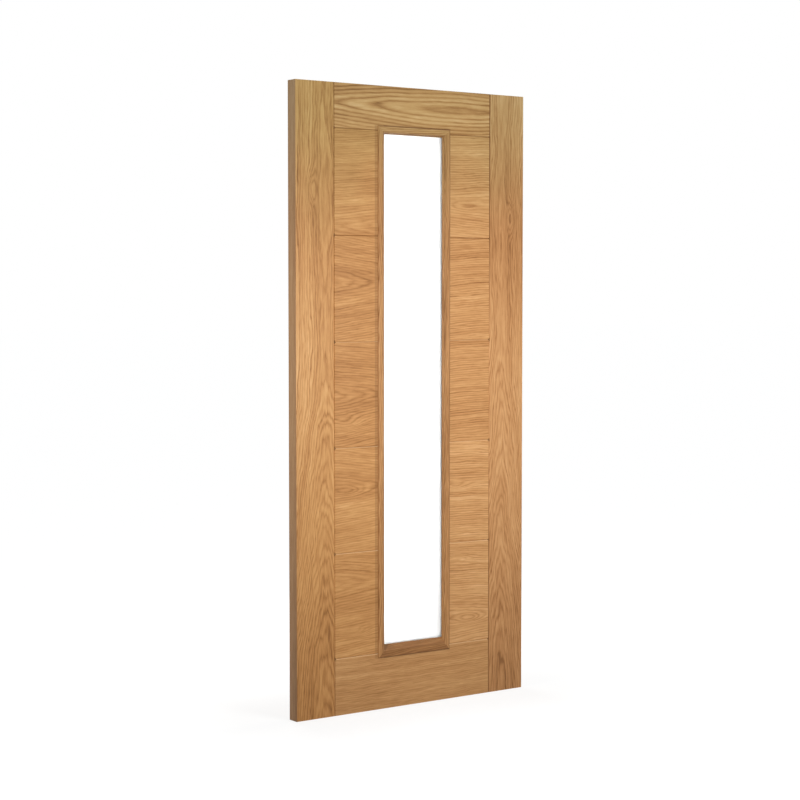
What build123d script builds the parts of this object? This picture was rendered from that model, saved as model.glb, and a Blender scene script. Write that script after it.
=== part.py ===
from build123d import *
import os

# Glazed oak door leaf, flush faced, with one tall light between two rows of stacked panels.
# X runs across from the hinge edge, Y from the front face to the back, Z up from the foot.

# The leaf
LEAF_WIDTH = 926
LEAF_HEIGHT = 2040
LEAF_THICKNESS = 44
LIPPING_WIDTH = 8
LIPPING_EASE = 1
STILE_WIDTH = 146.5
TOP_RAIL_HEIGHT = 143.5
BOTTOM_RAIL_HEIGHT = 185.5
PANEL_ROWS = 5
GROOVE_WIDTH = 4
GROOVE_DEPTH = 2

# The glazing beads, planted on both faces and lapped over the edge of the light
LIGHT_WIDTH = 262
BEAD_LAP = 15
BEAD_PROUD = 4
BEAD_FACE = 22
BEAD_SPLAY = 5
SILL_SPLAY = 20
BEAD_ROUND = 2.5
BEAD_CLEARANCE = 0.5

# The sealed glass unit and the tape that beds it
PANE_THICKNESS = 4
CAVITY_WIDTH = 20
PANE_CLEARANCE = 3
TAPE_THICKNESS = 2
TAPE_WIDTH = 9
TAPE_SETBACK = 1
SEALANT_WIDTH = 2
SPACER_WIDTH = 6

# Worked out from the sizes above
FACE = LEAF_THICKNESS / 2
LIGHT_LEFT = (LEAF_WIDTH - LIGHT_WIDTH) / 2
LIGHT_RIGHT = LIGHT_LEFT + LIGHT_WIDTH
LIGHT_BOTTOM = BOTTOM_RAIL_HEIGHT
LIGHT_TOP = LEAF_HEIGHT - TOP_RAIL_HEIGHT
PANEL_HEIGHT = (LIGHT_TOP - LIGHT_BOTTOM) / PANEL_ROWS
STILE_LINES = (STILE_WIDTH, LEAF_WIDTH - STILE_WIDTH)
ROW_LINES = [LIGHT_BOTTOM + row * PANEL_HEIGHT for row in range(PANEL_ROWS + 1)]
PANE_FACE = CAVITY_WIDTH / 2 + PANE_THICKNESS
BEAD_FOOT = PANE_FACE + TAPE_THICKNESS
SIDES = ("top", "bottom", "hinge_side", "lock_side")


def save(shape, name):
    """Writes one piece as its own file."""
    export_step(shape, f"parts/{name}.step")


def block(x, y, z):
    """A square block between two limits along each axis."""
    low, high = zip(x, y, z)
    return Pos(*low) * Box(*(b - a for a, b in zip(low, high)), align=(Align.MIN,) * 3)


def through_leaf(x, z):
    """A block as thick as the leaf."""
    return block(x, (-FACE, FACE), z)


def flip(shape):
    """The same piece on the back face."""
    return mirror(shape, about=Plane.XZ)


def groove_cutter(start, run, across, length):
    """A V along one joint on the front face and one on the back, centred on the joint line."""
    mouth = [(-GROOVE_WIDTH / 2, 0), (GROOVE_WIDTH / 2, 0), (0, GROOVE_DEPTH)]
    plane = Plane(origin=start, x_dir=across, z_dir=run)
    front = extrude(plane * make_face(Polyline(*mouth, close=True)), amount=length)
    return front + flip(front)


def stile_groove(x):
    """The groove between a stile and what it holds, over the whole height."""
    return groove_cutter((x, -FACE, 0), Vector(0, 0, 1), Vector(1, 0, 0), LEAF_HEIGHT)


def row_groove(z):
    """The groove between two rows, from stile to stile."""
    left, right = STILE_LINES
    return groove_cutter((right, -FACE, z), Vector(-1, 0, 0), Vector(0, 0, 1), right - left)


def edge_lipping(x_outer, x_inner):
    """A solid strip along one long edge, its two outer arrises eased."""
    strip = through_leaf(sorted((x_outer, x_inner)), (0, LEAF_HEIGHT))
    arrises = [e for e in strip.edges().filter_by(Axis.Z) if abs(e.center().X - x_outer) < LIPPING_EASE]
    return chamfer(arrises, LIPPING_EASE)


def stile(x_lipping, x_line):
    """A full-height stile between its lipping and the groove along the panels."""
    return through_leaf(sorted((x_lipping, x_line)), (0, LEAF_HEIGHT)) - stile_groove(x_line)


def between_stiles(x, z):
    """A rail or panel, grooved along every joint line that borders it."""
    piece = through_leaf(x, z)
    for line in STILE_LINES:
        if line in x:
            piece -= stile_groove(line)
    for line in ROW_LINES:
        if line in z:
            piece -= row_groove(line)
    return piece


def splay(side):
    """How far the inner slope of a bead reaches towards the glass: more on the sill."""
    return SILL_SPLAY if side == "bottom" else BEAD_SPLAY


def ring(inset):
    """Corners of a rectangle inset from the outer edge of the beads by inset(side)."""
    left = LIGHT_LEFT - BEAD_LAP + inset("hinge_side")
    right = LIGHT_RIGHT + BEAD_LAP - inset("lock_side")
    bottom = LIGHT_BOTTOM - BEAD_LAP + inset("bottom")
    top = LIGHT_TOP + BEAD_LAP - inset("top")
    return left, right, bottom, top


OUTER = ring(lambda side: 0)
ARRIS = ring(lambda side: BEAD_FACE)
SIGHT = ring(lambda side: BEAD_FACE + splay(side))


def ends(rectangle, side):
    """The two corners of a rectangle that one side runs between, in the order it runs."""
    left, right, bottom, top = rectangle
    return {
        "top": ((right, top), (left, top)),
        "hinge_side": ((left, top), (left, bottom)),
        "bottom": ((left, bottom), (right, bottom)),
        "lock_side": ((right, bottom), (right, top)),
    }[side]


def bead_section(side):
    """Section of a bead: a lap on the face with a rounded edge, and a foot down to the tape."""
    foot = BEAD_FOOT - FACE
    points = [
        (0, 0),
        (0, BEAD_PROUD),
        (BEAD_FACE, BEAD_PROUD),
        (BEAD_FACE + splay(side), foot),
        (BEAD_LAP + BEAD_CLEARANCE, foot),
        (BEAD_LAP + BEAD_CLEARANCE, 0),
    ]
    section = make_face(Polyline(*points, close=True))
    edge = section.vertices().sort_by_distance((0, BEAD_PROUD, 0))[0]
    return fillet(edge, BEAD_ROUND)


def bead(side):
    """A front bead: its section run along one side of the light and mitred at both ends."""
    (x0, z0), (x1, z1) = ends(OUTER, side)
    start = Vector(x0, -FACE, z0)
    run = Vector(x1, -FACE, z1) - start
    plane = Plane(origin=start, x_dir=Vector(0, -1, 0).cross(run), z_dir=run)
    bar = extrude(plane * bead_section(side), amount=run.length)
    plan = [*ends(OUTER, side)]
    for corners in (ARRIS, SIGHT):
        first, last = ends(corners, side)
        plan.insert(0, first)
        plan.append(last)
    mitres = extrude(Plane.XZ * make_face(Polyline(*plan, close=True)), amount=LEAF_THICKNESS, both=True)
    return bar & mitres


def frame_bar(side, rectangle, width, y):
    """A square bar along one side inside a rectangle, with the top and bottom bars lapping the sides."""
    left, right, bottom, top = rectangle
    x, z = (left, right), (bottom + width, top - width)
    if side == "top":
        z = (top - width, top)
    elif side == "bottom":
        z = (bottom, bottom + width)
    elif side == "hinge_side":
        x = (left, left + width)
    else:
        x = (right - width, right)
    return block(x, y, z)


def grown(rectangle, amount):
    """A rectangle with each side moved outwards by the same amount."""
    left, right, bottom, top = rectangle
    return left - amount, right + amount, bottom - amount, top + amount


def save_leaf():
    """Lippings, stiles, rails and the two columns of panels, numbered from the top."""
    left, right = STILE_LINES
    save(edge_lipping(0, LIPPING_WIDTH), "hinge_edge_lipping")
    save(edge_lipping(LEAF_WIDTH, LEAF_WIDTH - LIPPING_WIDTH), "lock_edge_lipping")
    save(stile(LIPPING_WIDTH, left), "hinge_stile")
    save(stile(LEAF_WIDTH - LIPPING_WIDTH, right), "lock_stile")
    save(between_stiles((left, right), (LIGHT_TOP, LEAF_HEIGHT)), "top_rail")
    save(between_stiles((left, right), (0, LIGHT_BOTTOM)), "bottom_rail")
    for row in range(PANEL_ROWS):
        z = (ROW_LINES[row], ROW_LINES[row + 1])
        number = PANEL_ROWS - row
        save(between_stiles((left, LIGHT_LEFT), z), f"hinge_side_panel_{number}")
        save(between_stiles((LIGHT_RIGHT, right), z), f"lock_side_panel_{number}")


def save_glazing():
    """The two panes with their spacer, the bedding tape and the beads, front and back."""
    light = (LIGHT_LEFT, LIGHT_RIGHT, LIGHT_BOTTOM, LIGHT_TOP)
    glass = grown(light, -PANE_CLEARANCE)
    left, right, bottom, top = glass
    pane = block((left, right), (-PANE_FACE, -CAVITY_WIDTH / 2), (bottom, top))
    save(pane, "front_glass_pane")
    save(flip(pane), "back_glass_pane")
    cavity = (-CAVITY_WIDTH / 2, CAVITY_WIDTH / 2)
    bed = grown(SIGHT, TAPE_SETBACK + TAPE_WIDTH)
    for side in SIDES:
        save(frame_bar(side, grown(glass, -SEALANT_WIDTH), SPACER_WIDTH, cavity), f"glass_spacer_{side}")
        tape = frame_bar(side, bed, TAPE_WIDTH, (-BEAD_FOOT, -PANE_FACE))
        save(tape, f"front_tape_{side}")
        save(flip(tape), f"back_tape_{side}")
        save(bead(side), f"front_bead_{side}")
        save(flip(bead(side)), f"back_bead_{side}")


os.makedirs("parts", exist_ok=True)
save_leaf()
save_glazing()
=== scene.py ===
import math
from dataclasses import dataclass, replace

import bpy
import numpy as np
from mathutils import Euler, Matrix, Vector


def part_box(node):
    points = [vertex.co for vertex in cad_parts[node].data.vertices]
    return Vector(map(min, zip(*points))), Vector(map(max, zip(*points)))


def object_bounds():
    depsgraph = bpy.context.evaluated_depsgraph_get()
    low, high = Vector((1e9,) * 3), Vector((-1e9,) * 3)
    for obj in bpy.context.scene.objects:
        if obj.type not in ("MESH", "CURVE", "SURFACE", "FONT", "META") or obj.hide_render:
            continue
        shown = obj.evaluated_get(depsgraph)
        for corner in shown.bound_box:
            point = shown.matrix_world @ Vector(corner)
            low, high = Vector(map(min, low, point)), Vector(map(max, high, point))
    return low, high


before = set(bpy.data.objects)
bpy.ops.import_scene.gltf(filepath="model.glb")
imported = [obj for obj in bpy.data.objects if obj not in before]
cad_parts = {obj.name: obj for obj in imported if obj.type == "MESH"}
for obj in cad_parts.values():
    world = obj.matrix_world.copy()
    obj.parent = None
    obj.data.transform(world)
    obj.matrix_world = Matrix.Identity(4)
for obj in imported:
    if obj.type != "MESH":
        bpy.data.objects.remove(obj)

CAD_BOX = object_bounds()

# Faces of the leaf in metres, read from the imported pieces
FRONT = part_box("hinge_stile")[0][1]
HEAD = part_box("hinge_stile")[1][2]
LEFT, RIGHT = CAD_BOX[0][0], CAD_BOX[1][0]
SIDES = ("top", "bottom", "hinge_side", "lock_side")

BLACK = (0.0, 0.0, 0.0, 1.0)
WHITE = (1.0, 1.0, 1.0, 1.0)


class Wire:
    """A value in a node graph. Arithmetic on wires and numbers adds Math nodes."""

    def __init__(self, graph, socket):
        self.graph = graph
        self.socket = socket

    def math(self, operation, *inputs):
        return self.graph.add("ShaderNodeMath", {"operation": operation}, dict(enumerate(inputs)))

    def __add__(self, other):
        return self.math("ADD", self, other)

    def __sub__(self, other):
        return self.math("SUBTRACT", self, other)

    def __rsub__(self, other):
        return self.math("SUBTRACT", other, self)

    def __mul__(self, other):
        return self.math("MULTIPLY", self, other)

    def __truediv__(self, other):
        return self.math("DIVIDE", self, other)

    def __pow__(self, other):
        return self.math("POWER", self, other)

    def __abs__(self):
        return self.math("ABSOLUTE", self)

    __radd__ = __add__
    __rmul__ = __mul__

    def root(self):
        return self.math("SQRT", self)

    def fraction(self):
        return self.math("FRACT", self)

    def exponential(self):
        return self.math("EXPONENT", self)

    def larger(self, other):
        return self.math("MAXIMUM", self, other)

    def above(self, edge, width):
        """0 below edge, 1 above it, over a soft step of the given width."""
        limits = {"From Min": edge - width / 2, "From Max": edge + width / 2}
        settings = {"interpolation_type": "SMOOTHSTEP"}
        return self.graph.add("ShaderNodeMapRange", settings, {"Value": self, **limits})

    def below(self, edge, width):
        """1 below edge, 0 above it, over a soft step of the given width."""
        return 1.0 - self.above(edge, width)

    def outside(self, low, high):
        """Distance past the nearer end of a span, less than 0 within it."""
        return abs(self - (low + high) / 2) - (high - low) / 2


class Graph:
    """The nodes of one material, or of the world. Every node comes from add()."""

    def __init__(self, owner):
        owner.use_nodes = True
        self.owner = owner
        self.tree = owner.node_tree
        self.tree.nodes.clear()

    def add(self, kind, settings, sockets, output=0):
        """A node of one kind: its settings first, then a value or a link for each socket."""
        node = self.tree.nodes.new(kind)
        for name, value in settings.items():
            if name == "stops":
                self.set_stops(node.color_ramp, value)
            elif name == "easing":
                node.color_ramp.interpolation = value
            else:
                setattr(node, name, value)
        for name, value in sockets.items():
            if isinstance(value, Wire):
                self.tree.links.new(value.socket, node.inputs[name])
            else:
                node.inputs[name].default_value = value
        return Wire(self, node.outputs[output]) if node.outputs else None

    @staticmethod
    def set_stops(ramp, stops):
        """Gives a colour ramp its stops: places from 0 to 1 with their colours."""
        while len(ramp.elements) < len(stops):
            ramp.elements.new(1.0)
        for element, (place, colour) in zip(ramp.elements, stops):
            element.position = place
            element.color = (*colour, 1.0)

    def axes(self):
        """The three object coordinates, in metres."""
        where = self.add("ShaderNodeTexCoord", {}, {}, "Object")
        return [self.add("ShaderNodeSeparateXYZ", {}, {0: where}, i) for i in range(3)]

    def normal(self, axis):
        """How far the surface's own normal points along one axis, from -1 to 1."""
        normal = self.add("ShaderNodeNewGeometry", {}, {}, "True Normal")
        return self.add("ShaderNodeSeparateXYZ", {}, {0: normal}, axis)

    def facing(self):
        """How squarely the surface faces front or back, from 0 to 1."""
        return abs(self.normal(1))

    def noise(self, x, y, z, detail=2.0, roughness=0.5):
        """Soft noise about 0, mostly from -0.3 to 0.3, at a point already scaled on each axis."""
        point = self.add("ShaderNodeCombineXYZ", {}, {0: x, 1: y, 2: z})
        sockets = {"Vector": point, "Scale": 1.0, "Detail": detail, "Roughness": roughness}
        return self.add("ShaderNodeTexNoise", {}, sockets) - 0.5

    def noise_along(self, value, detail=1.0):
        """Noise about 0 along one value."""
        sockets = {"W": value, "Scale": 1.0, "Detail": detail}
        return self.add("ShaderNodeTexNoise", {"noise_dimensions": "1D"}, sockets) - 0.5

    def ramp(self, value, stops, easing="LINEAR"):
        return self.add("ShaderNodeValToRGB", {"stops": stops, "easing": easing}, {0: value})

    def curve(self, pairs, along):
        """A smooth curve by (along, value) pairs, as a ramp scaled back to those values."""
        places, values = zip(*pairs)
        length, low = places[-1] - places[0], min(values)
        span = max(max(values) - low, 1e-4)
        stops = [((p - places[0]) / length, ((v - low) / span,) * 3) for p, v in pairs]
        return self.ramp((along - places[0]) / length, stops, "B_SPLINE") * span + low

    def mix(self, factor, first, second, blend="MIX"):
        """Two colours mixed by a factor."""
        settings = {"data_type": "RGBA", "blend_type": blend}
        return self.add("ShaderNodeMix", settings, {0: factor, 6: first, 7: second}, 2)

    def bump(self, height, distance, strength):
        sockets = {"Height": height, "Distance": distance, "Strength": strength}
        return self.add("ShaderNodeBump", {}, sockets)

    def seen(self):
        """1 on what the camera sees straight, and 1 on what it sees in a reflection or through glass."""
        rays = ("Is Camera Ray", "Is Glossy Ray", "Is Transmission Ray")
        straight, mirrored, through = (self.add("ShaderNodeLightPath", {}, {}, ray) for ray in rays)
        return straight, mirrored.larger(through)

    def surface(self, **sockets):
        """Closes a material with one principled surface; underscores stand for spaces."""
        named = {name.replace("_", " "): value for name, value in sockets.items()}
        shader = self.add("ShaderNodeBsdfPrincipled", {}, named)
        self.add("ShaderNodeOutputMaterial", {}, {"Surface": shader})
        return self.owner


def new_finish(name):
    return Graph(bpy.data.materials.new(name))


@dataclass(frozen=True)
class Board:
    """How one piece of oak was cut. Lengths are in metres, along its grain and across it."""

    upright: bool
    heart: float            # across the grain, the line that the arches are nested about
    cut: tuple              # (along, climb) pairs: how far the cut has climbed through the rings on the way
    ring: float = 0.008     # width of a year ring
    dip: float = 0.030      # how deep the heart lies below the face
    eyes: tuple = ()        # (along, across, lift): small closed figures in the grain
    wander: float = 0.012   # how far the rings stray from smooth
    feather: float = 0.6    # how far the fibres fray the rings, in rings
    contrast: float = 1.0
    patchy: float = 0.40    # how much slow patches differ in tone
    tone: float = 0.0
    # Along the board's length: partly its own tone, partly painted shade where the light falls off towards
    # the foot and the head
    tone_and_painted_shade: tuple = ()       # (along, tone) pairs: how the board darkens and pales on the way
    tint: tuple = (1.0, 1.0, 1.0)
    seed: float = 0.0


@dataclass(frozen=True)
class Figure:
    """One layer of the grain: its waves a metre along the grain, across it and into the leaf."""

    along: float
    across: float
    deep: float
    shift: float = 0.0      # sets the layer apart from the others
    detail: float = 2.0
    roughness: float = 0.5

    def noise(self, graph, place, seed):
        along, across, deep = place
        inwards = deep * self.deep + (seed + self.shift)
        return graph.noise(along * self.along, across * self.across, inwards, self.detail, self.roughness)


# Layers that bend the year rings
STRAY = Figure(3.0, 9.0, 30.0)
RIPPLE = Figure(9.0, 55.0, 55.0, shift=7.0)
FEATHER = Figure(15.0, 170.0, 170.0, roughness=0.6)
FRAY = Figure(40.0, 620.0, 620.0, detail=1.0)

# Layers that change the tone
PATCH = Figure(4.0, 22.0, 22.0, shift=19.0, detail=1.0)
BROAD = Figure(1.6, 11.0, 40.0, shift=11.0, detail=3.0)
STREAK = Figure(8.0, 95.0, 95.0, shift=5.0, roughness=0.6)
FIBRE = Figure(20.0, 230.0, 230.0, shift=9.0, detail=3.0, roughness=0.6)
PORE = Figure(95.0, 1500.0, 1500.0, detail=1.0)

# The heart leans with depth and sways in waves a metre. Sway, stray and ripple go by a board's wander
HEART_LEAN = 0.5
SWAY_WAVES = 2.6
SWAY_REACH, STRAY_REACH, RIPPLE_REACH = 2.4, 1.8, 1.5
EYE_LENGTH, EYE_WIDTH = 0.055, 0.016

# Noise along the years, in waves a year: how strong the dark lines are, and bands of tone
STRENGTH_WAVES, STRENGTH_SHIFT = 0.80, 3.0
STRENGTH_MEAN, STRENGTH_SPAN = 0.80, 1.7
BAND_WAVES, BAND_SHIFT = 0.33, 31.0

# The dark line that starts each year: a power that narrows it, its mean, and its weight in the tone
LINE_POWER = 1.7
LINE_MEAN = 0.30
LINE_WEIGHT = 0.42

# Weights of the other layers in the tone, and where the pores open
MIDDLE_TONE = 0.53
FRAY_WEIGHT, PATCH_WEIGHT = 0.6, 1.5
BAND_WEIGHT, STREAK_WEIGHT, FIBRE_WEIGHT = 0.42, 0.42, 0.57
PORE_WEIGHT, PORE_BY_LINE = 0.07, 0.07
PORE_EDGE, PORE_BLEND = 0.17, 0.08


def tinted(palette, tint):
    """A palette with each of its colours multiplied by a tint."""
    return [(place, tuple(c * t for c, t in zip(colour, tint))) for place, colour in palette]


# Oak from its darkest early wood to its palest late wood
OAK = [
    (0.00, (0.290, 0.124, 0.038)),
    (0.25, (0.435, 0.194, 0.065)),
    (0.50, (0.568, 0.275, 0.102)),
    (0.75, (0.685, 0.363, 0.147)),
    (1.00, (0.825, 0.484, 0.234)),
]
BEAD_OAK = tinted(OAK, (0.90, 0.915, 0.92))
# The oak for the lipping's edge, darker and greyer than on the faces: a copy with painted shade and sheen
SHADED_EDGE_OAK = tinted(OAK, (0.79, 0.885, 1.08))
# Painted shade: the brown laid in the grooves, by the beads and on them, and in the real dark joint round
# the beads
PAINTED_SHADE_BROWN = (0.22, 0.100, 0.034, 1.0)
# Painted highlight: the pale laid on groove lips
PAINTED_HIGHLIGHT_OAK = (0.90, 0.62, 0.34, 1.0)

# Near the head of the leaf the colour is multiplied by these hues, down to this depth and over this blend
YELLOWED = (0.855, 1.025, 1.02, 1.0)
GREYED = (0.96, 1.07, 1.12, 1.0)
HUE_DEPTH, HUE_BLEND = 0.30, 0.50

# How squarely a surface faces front: a groove's sides lie between the first two
GROOVE_SIDE = 0.45
FLAT_FACE = 0.95
BEAD_FLAT = 0.92
LIPPING_FLAT = 0.85

# How far a groove's side points up or down, if the groove is level
LEVEL_SIDE = 0.5

# (height, weight) pairs up the two upright grooves: painted shade above 0 and painted highlight below it
HINGE_GROOVE = (
    (0.0, 0.25), (0.35, 0.15), (0.55, -0.45), (1.0, -0.45), (1.45, -0.40), (1.65, 0.30), (HEAD, 0.35),
)
LOCK_GROOVE = (
    (0.0, 0.55), (0.35, 0.65), (0.7, 0.30), (1.04, -0.25), (1.4, 0.35), (1.75, 1.0), (HEAD, 0.9),
)

# Level grooves: their painted shade, how much more there is above a turn, and how pale the painted
# highlight on their lower lips is below that turn
LEVEL_PAINTED_SHADE, HIGH_PAINTED_SHADE, LIP_HIGHLIGHT = 0.18, 0.24, 0.8
GROOVE_TURN, GROOVE_BLEND = 1.38, 0.50

# Where grooves cross, and the painted shade there
CROSSING_REACH, CROSSING_PAINTED_SHADE = 0.0055, 0.9

# The joint round the beads, a dark joint with painted shadow: its width, its weight under the sill, and how
# the other sides differ
BEAD_FACE = 0.022
JOINT_WIDTH = 0.005
SILL_JOINT_SHADOW = 0.62
JOINT_SHADOW_CHANGE = {"lock_side": 0.32, "hinge_side": -0.54, "top": -0.14}

# The painted shadow down the panels beside the hinge-side bead
BEAD_SHADOW_WIDTH, BEAD_SHADOW_WEIGHT = 0.012, 0.36

# Each bead's tone, and how dark the painted shade lies on its slope and along its inner arris
BEAD_LOOKS = {
    "top": (0.00, 0.75, 0.30),
    "bottom": (-0.40, 0.25, 0.15),
    "hinge_side": (-0.10, 0.06, 0.50),
    "lock_side": (-0.12, 0.06, 0.15),
}
ARRIS_WIDTH = 0.005
# Painted shadow on the sloped faces in the beads' two inner corners on the hinge side: its reach and weight
CORNER_REACH, CORNER_SHADOW = 0.020, 0.9


def ring_count(graph, board, place):
    """Year rings passed: distance from the heart's line, less the climb of the cut, less a bell at each
    eye, plus a slow stray and a finer ripple, over the width of a ring."""
    along, across, deep = place
    sway = graph.noise_along(along * SWAY_WAVES + board.seed, 2.0) * (SWAY_REACH * board.wander)
    from_heart = across - board.heart + deep * HEART_LEAN + sway
    depth = deep + (board.dip - FRONT)
    reach = (from_heart * from_heart + depth * depth).root() - graph.curve(board.cut, along)
    for eye_along, eye_across, lift in board.eyes:
        u, v = (along - eye_along) / EYE_LENGTH, (across - eye_across) / EYE_WIDTH
        reach = reach - (0.0 - (u * u + v * v)).exponential() * lift
    stray = STRAY.noise(graph, place, board.seed) * (STRAY_REACH * board.wander)
    ripple = RIPPLE.noise(graph, place, board.seed) * (RIPPLE_REACH * board.wander)
    return (reach + stray + ripple) / board.ring


def oak_tone(graph, board, place):
    """Lightness about 0.5 and the pore mask. Each year starts with a dark line, feathered along the fibres
    and stronger in some years and patches; bands of years differ in tone; broad patches, streaks, fibres
    and short pores lie along the grain."""
    seed = board.seed
    rings = ring_count(graph, board, place)
    layers = (FEATHER, FRAY, PATCH, BROAD, STREAK, FIBRE, PORE)
    feather, fray, patch, broad, streak, fibre, pore = (f.noise(graph, place, seed) for f in layers)
    year = (rings + (feather + fray * FRAY_WEIGHT) * board.feather).fraction()
    line = (abs(year - 0.5) * 2.0) ** LINE_POWER
    by_year = graph.noise_along(rings * STRENGTH_WAVES + (seed + STRENGTH_SHIFT))
    strength = STRENGTH_MEAN + STRENGTH_SPAN * by_year
    band = graph.noise_along(rings * BAND_WAVES + (seed + BAND_SHIFT), 2.0)
    open_pore = (pore + line * PORE_BY_LINE).above(PORE_EDGE, PORE_BLEND)
    slow = broad * board.patchy + band * BAND_WEIGHT
    fine = streak * STREAK_WEIGHT + fibre * FIBRE_WEIGHT - open_pore * PORE_WEIGHT
    tone = slow + fine + (MIDDLE_TONE + board.tone)
    # Painted shade falling off towards foot and head, mixed with the board's own tone along its length
    if board.tone_and_painted_shade:
        tone = tone + graph.curve(board.tone_and_painted_shade, place[0])
    dark = line * strength * (1.0 + PATCH_WEIGHT * patch)
    return tone - (dark - LINE_MEAN) * (LINE_WEIGHT * board.contrast), open_pore


def grain_axes(graph, upright):
    """Object coordinates as along the grain, across it on the face, and deep into the leaf."""
    x, y, z = graph.axes()
    return (z, x, y) if upright else (x, z, y)


def hued_near_head(graph, colour, hue=YELLOWED):
    """Oak whose hue changes towards the head of the leaf, with slow patches along the border."""
    x, y, z = graph.axes()
    patch = graph.noise(x * 5.0, y * 5.0, z * 3.0 + 4.0)
    return graph.mix((z + patch * 0.3).above(HEAD - HUE_DEPTH, HUE_BLEND), colour, hue, "MULTIPLY")


def oak_surface(graph, colour, tone, open_pore):
    """Satin lacquer over oak: pores sink and are duller, the dark early wood a little rougher."""
    return graph.surface(
        Base_Color=colour,
        Roughness=0.52 - tone * 0.10 + open_pore * 0.15,
        Normal=graph.bump(tone * 0.35 - open_pore, 0.00025, 0.35),
        Specular_IOR_Level=0.25,
    )


def crossing(x, z):
    """1 where a level groove meets an upright one: the rows of panels are all of one height."""
    (_, _, foot), (_, _, head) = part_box("hinge_side_panel_5")
    row = head - foot
    from_row = abs(((z - foot) / row + 0.5).fraction() - 0.5) * row
    from_stile = abs(x.outside(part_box("hinge_stile")[1][0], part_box("lock_stile")[0][0]))
    return from_row.larger(from_stile).below(CROSSING_REACH, 0.003)


def groove_shade(graph, colour):
    """V-grooves: in the upright ones painted shade at some heights and painted highlight at others. In the
    level ones the painted shade is darker towards the head, and lower down a painted highlight lies on
    their lower lips. Painted shade lies where two grooves cross."""
    up, facing = graph.normal(2), graph.facing()
    groove = facing.above(GROOVE_SIDE, 0.1) * facing.below(FLAT_FACE, 0.04)
    x, _, z = graph.axes()
    high = z.above(GROOVE_TURN, GROOVE_BLEND)
    by_hinge, by_lock = graph.curve(HINGE_GROOVE, z), graph.curve(LOCK_GROOVE, z)
    upright = by_hinge + (by_lock - by_hinge) * x.above((LEFT + RIGHT) / 2, 0.01)
    level = LEVEL_PAINTED_SHADE + high * HIGH_PAINTED_SHADE
    either = upright + (level - upright) * abs(up).above(LEVEL_SIDE, 0.2)
    # Painted shade where grooves cross
    painted_shading = either.larger(crossing(x, z) * CROSSING_PAINTED_SHADE)
    # Painted shade in the grooves, and painted highlight on their lower lips and in their pale stretches
    dark = graph.mix(groove * painted_shading, colour, PAINTED_SHADE_BROWN)
    lower_lip = up.above(LEVEL_SIDE, 0.2) * (1.0 - high)
    return graph.mix(groove * (lower_lip * LIP_HIGHLIGHT - painted_shading), dark, PAINTED_HIGHLIGHT_OAK)


def bead_lines(graph):
    """Distance outwards from the outer edge of the beads, a mask of the dark joint there with painted
    shadow in it, and one of the painted shadow that runs down the panels on its hinge side."""
    x, _, z = graph.axes()
    left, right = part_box("front_bead_hinge_side")[0][0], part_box("front_bead_lock_side")[1][0]
    bottom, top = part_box("front_bead_bottom")[0][2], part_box("front_bead_top")[1][2]
    out_x, out_z = x.outside(left, right), z.outside(bottom, top)
    out = out_x.larger(out_z)
    on_side = {
        "hinge_side": x.below(left + BEAD_FACE, 0.004),
        "lock_side": x.above(right - BEAD_FACE, 0.004),
        "top": z.above(top - BEAD_FACE, 0.004),
    }
    weight = SILL_JOINT_SHADOW
    for side, change in JOINT_SHADOW_CHANGE.items():
        weight = weight + on_side[side] * change
    # A dark joint with painted shadow: darkest beside the lock-side bead and under the sill, faint on the
    # hinge side
    joint_and_shadow = abs(out).below(JOINT_WIDTH / 2, JOINT_WIDTH) * weight
    strip = out_x.above(0.0, 0.002) * out_x.below(BEAD_SHADOW_WIDTH, 0.005)
    bead_shadow = strip * on_side["hinge_side"] * out_z.below(0.0, 0.008)
    return out, joint_and_shadow, bead_shadow


def oak_veneer(name, board):
    """Oak veneer on a stile, rail or panel, with painted shade and highlight in its V-grooves, and a dark
    joint with painted shadow by the beads.
    """
    graph = new_finish(name)
    tone, open_pore = oak_tone(graph, board, grain_axes(graph, board.upright))
    _, joint_and_shadow, bead_shadow = bead_lines(graph)
    oak = hued_near_head(graph, graph.ramp(tone, tinted(OAK, board.tint)))
    # Painted shadow in the joint round the beads and down the panels beside the hinge-side bead
    colour = graph.mix(joint_and_shadow + bead_shadow * BEAD_SHADOW_WEIGHT, oak, PAINTED_SHADE_BROWN)
    return oak_surface(graph, groove_shade(graph, colour), tone, open_pore)


def oak_lipping(name, board, edge_board):
    """Solid oak edge: the stile's veneer runs over its faces, and its own grain shows on the edge."""
    graph = new_finish(name)
    x, y, z = graph.axes()
    face_tone, face_pore = oak_tone(graph, board, (z, x, y))
    edge_tone, edge_pore = oak_tone(graph, edge_board, (z, y, x))
    on_face = graph.facing().above(LIPPING_FLAT, 0.1)
    tone = edge_tone + (face_tone - edge_tone) * on_face
    pore = edge_pore + (face_pore - edge_pore) * on_face
    face_colour = hued_near_head(graph, graph.ramp(face_tone, tinted(OAK, board.tint)))
    # The edge takes the darker, greyer oak: painted shade and sheen on that side
    edge_colour = hued_near_head(graph, graph.ramp(edge_tone, SHADED_EDGE_OAK), GREYED)
    colour = graph.mix(on_face, edge_colour, face_colour)
    return oak_surface(graph, colour, tone, pore)


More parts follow.
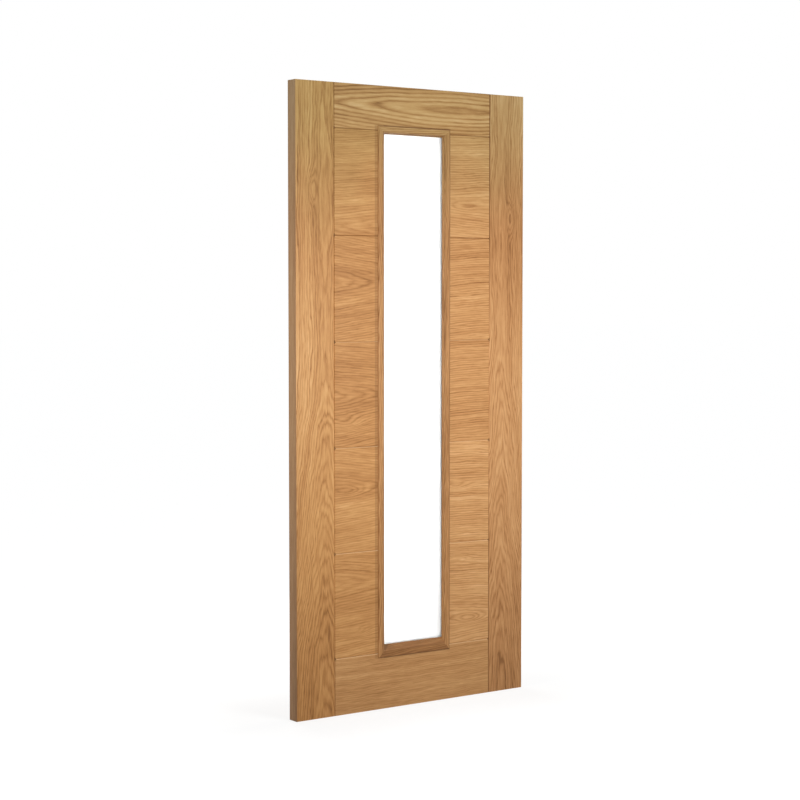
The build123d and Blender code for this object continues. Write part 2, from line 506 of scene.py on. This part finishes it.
def oak_bead(name, board, slope_shade, arris_shade):
    """Solid oak bead, browner than the veneer, its grain along its length. Painted shade darkens its joint
    with the leaf (a real dark joint as well), its inner arris and its slope, with painted shadow on the
    slope in the two inner corners on the hinge side."""
    graph = new_finish(name)
    tone, open_pore = oak_tone(graph, board, grain_axes(graph, board.upright))
    out, joint_and_shadow, _ = bead_lines(graph)
    flat = graph.facing().above(BEAD_FLAT, 0.1)
    arris = (0.0 - out).above(BEAD_FACE - ARRIS_WIDTH, 0.003) * flat
    x, _, z = graph.axes()
    sill_top, lintel_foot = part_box("front_bead_bottom")[1][2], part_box("front_bead_top")[0][2]
    from_corner = abs(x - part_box("front_bead_hinge_side")[1][0]) + abs(z.outside(sill_top, lintel_foot))
    corner = from_corner.below(CORNER_REACH, 0.006)
    # Painted shade on the joint, the inner arris and the slope, and painted shadow in the hinge-side
    # corners
    dark = joint_and_shadow + arris * arris_shade + (1.0 - flat) * (slope_shade + corner * CORNER_SHADOW)
    colour = graph.mix(dark, hued_near_head(graph, graph.ramp(tone, BEAD_OAK)), PAINTED_SHADE_BROWN)
    return oak_surface(graph, colour, tone, open_pore)


def satin_glass():
    """Glass etched on its hidden face: translucent, with a fine grain and a faint cloud in the etching."""
    graph = new_finish("satin_glass")
    x, y, z = graph.axes()
    cloud = graph.noise(x * 6.0, y * 6.0, z * 4.0, 3.0)
    etch = graph.noise(x * 900.0, y * 900.0, z * 900.0)
    low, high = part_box("front_glass_pane")
    etched = y.above((low[1] + high[1]) / 2, 0.001)
    colour = graph.ramp(0.5 + cloud, [(0.0, (0.995, 1.0, 0.998)), (1.0, (1.0, 1.0, 1.0))])
    return graph.surface(
        Base_Color=colour,
        Roughness=0.06 + etched * (0.90 + cloud * 0.06 + etch * 0.04),
        Normal=graph.bump(etch * etched, 0.0001, 0.15),
        Transmission_Weight=1.0,
        IOR=1.5,
    )


def clear_glass():
    """Clear polished glass with the faint smears that a wiped pane keeps."""
    graph = new_finish("clear_glass")
    x, y, z = graph.axes()
    smear = graph.noise(x * 14.0 + z * 5.0, y * 3.0, z * 4.0, 4.0, 0.6).above(0.08, 0.3)
    colour = graph.mix(smear, (0.998, 1.0, 0.999, 1.0), (0.985, 0.995, 0.99, 1.0))
    return graph.surface(Base_Color=colour, Roughness=0.01 + smear * 0.05, Transmission_Weight=1.0, IOR=1.5)


def glazing_tape():
    """White foam tape with open cells."""
    graph = new_finish("glazing_tape")
    x, y, z = graph.axes()
    cell = graph.noise(x * 700.0, y * 700.0, z * 700.0)
    colour = graph.ramp(0.5 + cell, [(0.2, (0.68, 0.67, 0.64)), (0.8, (0.86, 0.85, 0.82))])
    dents = graph.bump(cell, 0.0003, 0.4)
    return graph.surface(Base_Color=colour, Roughness=0.85 + cell * 0.1, Normal=dents)


def spacer_metal():
    """Bright aluminium with drawing lines along the bar and a row of breather holes, painted dark for the
    shade inside them.
    """
    graph = new_finish("spacer_metal")
    holes_a_metre = 160.0
    x, y, z = graph.axes()
    drawn = graph.noise((x + z) * 12.0, y * 2600.0, (x - z) * 12.0)
    hole = ((x + z) * holes_a_metre).fraction()
    # Painted shade in the breather holes
    row = (abs(hole - 0.5) + abs(y) * holes_a_metre).below(0.18, 0.08)
    stops = [(0.0, (0.45, 0.45, 0.45)), (0.5, (0.90, 0.90, 0.89))]
    colour = graph.ramp(0.6 + drawn - row * 0.5, stops)
    return graph.surface(Base_Color=colour, Metallic=1.0, Roughness=0.20 + drawn * 0.1)


def dress(node, material):
    """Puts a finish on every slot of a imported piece."""
    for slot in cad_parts[node].material_slots:
        slot.material = material


HINGE_STILE = Board(
    upright=True,
    heart=0.100,
    cut=(
        (0.0, 0.170), (0.45, 0.105), (0.95, 0.020), (1.2, 0.0),
        (1.45, 0.004), (1.7, 0.020), (HEAD, 0.0),
    ),
    eyes=((1.70, 0.060, 0.026),),
    contrast=1.12,
    tone=0.05,
    # Along the stile: its own tone mixed with painted shade, darker towards the foot and a little below the
    # head
    tone_and_painted_shade=(
        (0.0, -0.24), (0.13, -0.27), (0.38, -0.12), (0.64, -0.07), (0.89, 0.0),
        (1.15, 0.10), (1.4, -0.07), (1.66, -0.25), (HEAD, 0.09),
    ),
    tint=(1.0, 1.0, 0.90),
    seed=1.0,
)
LOCK_STILE = Board(
    upright=True,
    heart=0.822,
    cut=(
        (0.0, 0.150), (0.45, 0.100), (0.95, 0.024), (1.25, 0.0),
        (1.62, 0.018), (1.85, 0.0), (HEAD, 0.012),
    ),
    ring=0.0078,
    eyes=((1.62, 0.875, 0.026),),
    contrast=0.96,
    tone=-0.02,
    # Along the stile: its own tone mixed with painted shade, darker towards the foot and a little below the
    # head
    tone_and_painted_shade=(
        (0.0, -0.16), (0.13, -0.15), (0.38, 0.0), (0.64, 0.03), (0.89, 0.05),
        (1.15, 0.10), (1.4, -0.04), (1.66, -0.21), (HEAD, 0.24),
    ),
    tint=(1.0, 1.02, 1.08),
    seed=23.0,
)
TOP_RAIL = Board(
    upright=False,
    heart=1.966,
    cut=((0.14, -0.006), (0.21, 0.0), (0.36, 0.012), (0.62, 0.026), (0.80, 0.016)),
    ring=0.0115,
    dip=0.020,
    wander=0.003,
    feather=0.3,
    contrast=1.5,
    patchy=0.2,
    seed=41.0,
)
BOTTOM_RAIL = Board(
    upright=False,
    heart=-0.10,
    cut=((0.14, 0.0), (0.80, 0.012)),
    ring=0.0065,
    wander=0.008,
    contrast=0.45,
    tone=-0.02,
    tint=(1.0, 1.05, 1.07),
    seed=57.0,
)
HINGE_EDGE = Board(
    upright=True,
    heart=0.09,
    cut=((0.0, 0.0), (HEAD, 0.012)),
    ring=0.007,
    wander=0.004,
    contrast=0.5,
    # Along the edge: painted shade, darker towards the foot
    tone_and_painted_shade=((0.0, -0.22), (0.5, -0.05), (1.0, -0.01), (1.3, 0.0), (1.6, -0.06), (1.85, -0.05), (HEAD, 0.06)),
    seed=63.0,
)
LOCK_EDGE = replace(HINGE_EDGE, seed=71.0)

# One line a panel, top row first: heart from the panel's middle, climb from left to right, tone, and
# eyes from its middle
HINGE_SIDE_CUTS = [
    (-0.150, 0.022, -0.02, ()),
    (0.010, -0.034, -0.05, ()),
    (-0.010, -0.030, -0.10, ((-0.04, -0.09, 0.018),)),
    (0.030, -0.028, -0.03, ((-0.04, 0.03, 0.014),)),
    (0.060, -0.024, -0.03, ((-0.02, -0.09, 0.018),)),
]
LOCK_SIDE_CUTS = [
    (-0.069, 0.014, 0.07, ((0.0, -0.069, 0.009),)),
    (0.240, -0.012, 0.03, ()),
    (-0.230, 0.012, 0.00, ()),
    (0.180, 0.010, 0.12, ((-0.05, 0.02, 0.018),)),
    (-0.090, -0.014, 0.11, ((0.01, -0.09, 0.020), (-0.04, 0.12, 0.016))),
]

# Each column of panels: its first seed, its cuts, and the looks that its panels share
PANELS = {
    "hinge_side": (100.0, HINGE_SIDE_CUTS, {"contrast": 0.65, "patchy": 0.70, "tint": (1.0, 1.0, 0.92)}),
    "lock_side": (170.0, LOCK_SIDE_CUTS, {"contrast": 0.95, "tint": (1.0, 1.01, 1.01)}),
}
PANEL_SEED_STEP = 13.0

# Front beads take their seeds from the first, and back beads from the second
BEAD_SEEDS = {"front": 300.0, "back": 390.0}
BEAD_SEED_STEP = 17.0
BEAD_HEART = 0.03
UPRIGHT_CLIMB, LEVEL_CLIMB = 0.12, 0.02


def panel_board(node, cut, seed, look):
    """A panel's board, placed from the middle of its own box."""
    low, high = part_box(node)
    heart, rise, tone, eyes = cut
    x, z = (low[0] + high[0]) / 2, (low[2] + high[2]) / 2
    return Board(
        upright=False,
        heart=z + heart,
        cut=((low[0], 0.0), (high[0], rise)),
        ring=0.0075,
        eyes=tuple((x + along, z + across, lift) for along, across, lift in eyes),
        wander=0.006,
        tone=tone,
        seed=seed,
        **look,
    )


def bead_board(node, upright, tone, seed):
    """A bead's board, its grain along the bead and its heart off to one side."""
    low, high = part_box(node)
    along, across = (2, 0) if upright else (0, 2)
    return Board(
        upright=upright,
        heart=low[across] - BEAD_HEART,
        cut=((low[along], 0.0), (high[along], UPRIGHT_CLIMB if upright else LEVEL_CLIMB)),
        ring=0.005,
        wander=0.005,
        contrast=1.3,
        tone=tone,
        seed=seed,
    )


def finish_leaf():
    dress("hinge_stile", oak_veneer("oak_hinge_stile", HINGE_STILE))
    dress("lock_stile", oak_veneer("oak_lock_stile", LOCK_STILE))
    dress("hinge_edge_lipping", oak_lipping("oak_hinge_lipping", HINGE_STILE, HINGE_EDGE))
    dress("lock_edge_lipping", oak_lipping("oak_lock_lipping", LOCK_STILE, LOCK_EDGE))
    dress("top_rail", oak_veneer("oak_top_rail", TOP_RAIL))
    dress("bottom_rail", oak_veneer("oak_bottom_rail", BOTTOM_RAIL))
    for side, (first_seed, cuts, look) in PANELS.items():
        for row, cut in enumerate(cuts, start=1):
            node = f"{side}_panel_{row}"
            board = panel_board(node, cut, first_seed + PANEL_SEED_STEP * row, look)
            dress(node, oak_veneer(f"oak_{node}", board))


def finish_glazing():
    tape, metal = glazing_tape(), spacer_metal()
    dress("front_glass_pane", satin_glass())
    dress("back_glass_pane", clear_glass())
    for number, side in enumerate(SIDES):
        tone, slope, arris = BEAD_LOOKS[side]
        for face, first_seed in BEAD_SEEDS.items():
            node = f"{face}_bead_{side}"
            board = bead_board(node, side.endswith("_side"), tone, first_seed + BEAD_SEED_STEP * number)
            dress(node, oak_bead(f"oak_{node}", board, slope, arris))
            dress(f"{face}_tape_{side}", tape)
        dress(f"glass_spacer_{side}", metal)


# The studio: the world's fill, and the floor's own shade, its glow at the foot, how far it stays
# dimmer there, and its half width in metres
FILL = 0.26
FLOOR_SHADE = 0.22
FLOOR_NEAR = 0.79
SHADOW_REACH, SHADOW_BLEND = 0.45, 0.70
FLOOR_HALF = 60.0

# Place, aim and size in metres, power in watts, and colour
LAMPS = {
    "key": ((0.58, -1.80, 1.26), (0.46, 0.0, 1.22), (0.8, 0.8), 27.6, (1.0, 0.985, 0.96)),
    "edge": ((-1.40, -0.30, 1.30), (0.0, 0.0, 1.30), (0.10, 0.8), 11.5, (1.0, 0.975, 0.93)),
    "far_edge": ((2.33, 0.03, 1.30), (RIGHT, 0.03, 1.30), (0.10, 0.8), 11.0, (1.0, 0.985, 0.96)),
    "back": ((0.70, 2.20, 1.08), (0.46, 0.0, 1.03), (1.2, 2.0), 36.0, (1.0, 0.985, 0.96)),
    "head": ((0.46, -0.10, 3.60), (0.46, 0.0, 1.00), (1.4, 1.4), 8.0, (1.0, 1.0, 1.0)),
}

# The camera: lens and sensor in millimetres, place in metres, turn in degrees
LENS, SENSOR = 85.0, 36.0
CAMERA_PLACE = (-3.2199, -5.0609, 1.3633)
CAMERA_PITCH, CAMERA_YAW = 3.184, 35.735


def make_world():
    """White where it is seen, and a dimmer even fill where it only lights."""
    world = bpy.data.worlds.new("studio")
    graph = Graph(world)
    fill = graph.add("ShaderNodeBackground", {}, {"Color": (0.96, 0.98, 1.0, 1.0), "Strength": FILL})
    white = graph.add("ShaderNodeBackground", {}, {"Color": WHITE, "Strength": 1.0})
    straight, glassy = graph.seen()
    either = graph.add("ShaderNodeMixShader", {}, {0: straight.larger(glassy), 1: fill, 2: white})
    graph.add("ShaderNodeOutputWorld", {}, {"Surface": either})
    bpy.context.scene.world = world


def make_floor():
    """A wide pale floor that reads white and still takes a soft shadow: its glow dips near the foot."""
    square = np.array([[-1.0, -1.0, 0.0], [1.0, -1.0, 0.0], [1.0, 1.0, 0.0], [-1.0, 1.0, 0.0]])
    mesh = bpy.data.meshes.new("floor")
    mesh.from_pydata((FLOOR_HALF * square).tolist(), [], [(0, 1, 2, 3)])
    floor = bpy.data.objects.new("floor", mesh)
    bpy.context.scene.collection.objects.link(floor)
    graph = new_finish("floor")
    matt = graph.add("ShaderNodeBsdfDiffuse", {}, {"Color": (FLOOR_SHADE, FLOOR_SHADE, FLOOR_SHADE, 1.0)})
    x, y, _ = graph.axes()
    beside = x.outside(LEFT, RIGHT).larger(0.0)
    away = (beside * beside + y * y).root().above(SHADOW_REACH, SHADOW_BLEND)
    straight, glassy = graph.seen()
    bright = FLOOR_NEAR + away * (1.0 - FILL * FLOOR_SHADE - FLOOR_NEAR)
    shown = graph.mix(glassy.larger(straight * bright), BLACK, WHITE)
    glow = graph.add("ShaderNodeEmission", {}, {"Color": shown})
    both = graph.add("ShaderNodeAddShader", {}, {0: matt, 1: glow})
    graph.add("ShaderNodeOutputMaterial", {}, {"Surface": both})
    mesh.materials.append(graph.owner)


def make_lamp(name, place, aim, size, power, colour):
    """A soft oblong lamp that points from one place at another."""
    data = bpy.data.lights.new(name, "AREA")
    data.shape = "RECTANGLE"
    data.size, data.size_y = size
    data.energy = power
    data.color = colour
    lamp = bpy.data.objects.new(name, data)
    lamp.location = place
    away = np.subtract(place, aim)
    turn = math.atan2(away[0], -away[1])
    tilt = math.atan2(math.hypot(away[0], away[1]), away[2])
    lamp.rotation_euler = Euler((tilt, 0.0, turn))
    lamp.visible_camera = False
    bpy.context.scene.collection.objects.link(lamp)


def make_camera():
    """The photograph's viewpoint: left of the door, a little above its middle."""
    data = bpy.data.cameras.new("camera")
    data.lens = LENS
    data.sensor_width = SENSOR
    camera = bpy.data.objects.new("camera", data)
    camera.location = CAMERA_PLACE
    camera.rotation_euler = Euler((math.radians(90.0 - CAMERA_PITCH), 0.0, math.radians(-CAMERA_YAW)))
    bpy.context.scene.collection.objects.link(camera)
    bpy.context.scene.camera = camera


finish_leaf()
finish_glazing()
make_world()
make_floor()
for lamp, settings in LAMPS.items():
    make_lamp(lamp, *settings)
make_camera()
bpy.context.scene.view_settings.view_transform = "Standard"
